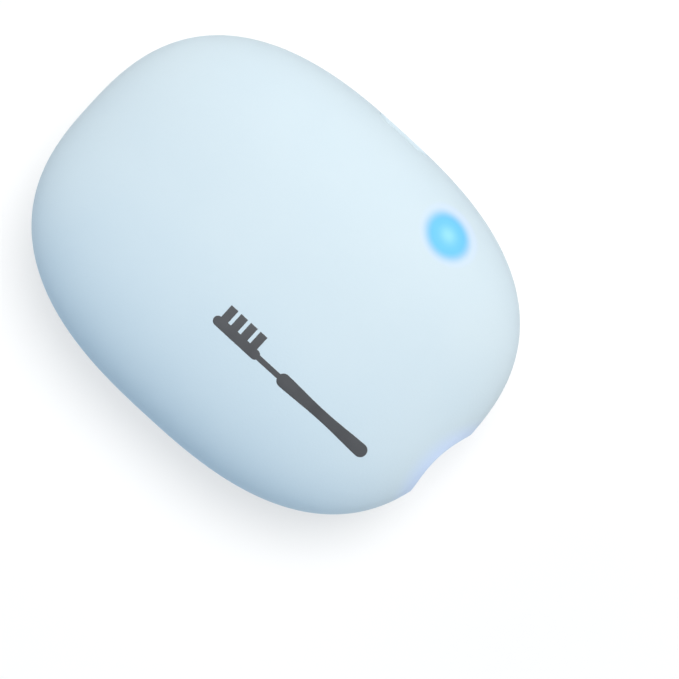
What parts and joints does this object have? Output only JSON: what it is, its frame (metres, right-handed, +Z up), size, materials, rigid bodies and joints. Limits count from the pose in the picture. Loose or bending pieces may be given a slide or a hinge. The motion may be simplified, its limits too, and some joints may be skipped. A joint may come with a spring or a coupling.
{
  "type": "toothbrush sanitizer",
  "caption": "Pocket clamshell case that closes round a toothbrush head and lights it with ultraviolet lamps; hinged front cover, brush mouth, charging socket.",
  "frame": {"origin": "centre of the flat on the back cover that the closed case rests on", "axes": "+Z up through the front cover, +Y from the brush mouth to the hinge, +X to the side with the charging socket and the indicator"},
  "size_m": [0.0544, 0.0719, 0.0352],
  "materials": {
    "cover": "fine satin moulded pale blue",
    "reflector": "bright metallised silver",
    "window": "clear polished",
    "seal": "soft white silicone",
    "circuit_board": "white solder mask",
    "lamp": "ceramic base with a clear lens",
    "indicator_lamp": "clear blue",
    "light_guide": "clear moulded",
    "chip": "black moulded",
    "battery_cell": "foil pouch",
    "foam": "black foam tape",
    "steel": "zinc plated",
    "magnet": "nickel plated",
    "lead_red": "red insulation",
    "lead_black": "black insulation",
    "socket_shell": "drawn steel shell",
    "flat_cable": "amber flat cable"
  },
  "bodies": {
    "base": {"back_cover": "cover", "back_reflector": "reflector", "hinge_pin": "steel", "back_catch_magnet_right": "magnet", "back_catch_magnet_left": "magnet", "lid_sensor_magnet": "magnet", "back_reflector_screw_1": "steel", "back_reflector_screw_2": "steel", "back_reflector_screw_3": "steel", "back_reflector_screw_4": "steel"},
    "lid": {"front_cover": "cover", "front_reflector": "reflector", "lamp_window": "window", "window_seal": "seal", "lamp_board": "circuit_board", "uvc_lamp_1": "lamp", "uva_lamp_1": "lamp", "uvc_lamp_2": "lamp", "uva_lamp_2": "lamp", "lamp_board_screw_1": "steel", "lamp_board_screw_2": "steel", "control_chip": "chip", "boost_coil": "chip", "cell_pad": "foam", "cell": "battery_cell", "cell_lead_red": "lead_red", "cell_lead_black": "lead_black", "side_board": "circuit_board", "side_board_screw_1": "steel", "side_board_screw_2": "steel", "usb_socket": "socket_shell", "charger_chip": "chip", "lid_sensor": "chip", "indicator_led": "indicator_lamp", "indicator_light_guide": "light_guide", "board_cable": "flat_cable", "front_catch_magnet_right": "magnet", "front_catch_magnet_left": "magnet", "front_reflector_screw_1": "steel", "front_reflector_screw_2": "steel", "front_reflector_screw_3": "steel", "front_reflector_screw_4": "steel"}
  },
  "joints": [
    {"name": "lid_hinge", "type": "hinge", "parent": "base", "child": "lid", "pos_m": [0, 0.03285, 0.0142], "axis": [-1, 0, 0], "range_deg": [0, 95]}
  ]
}
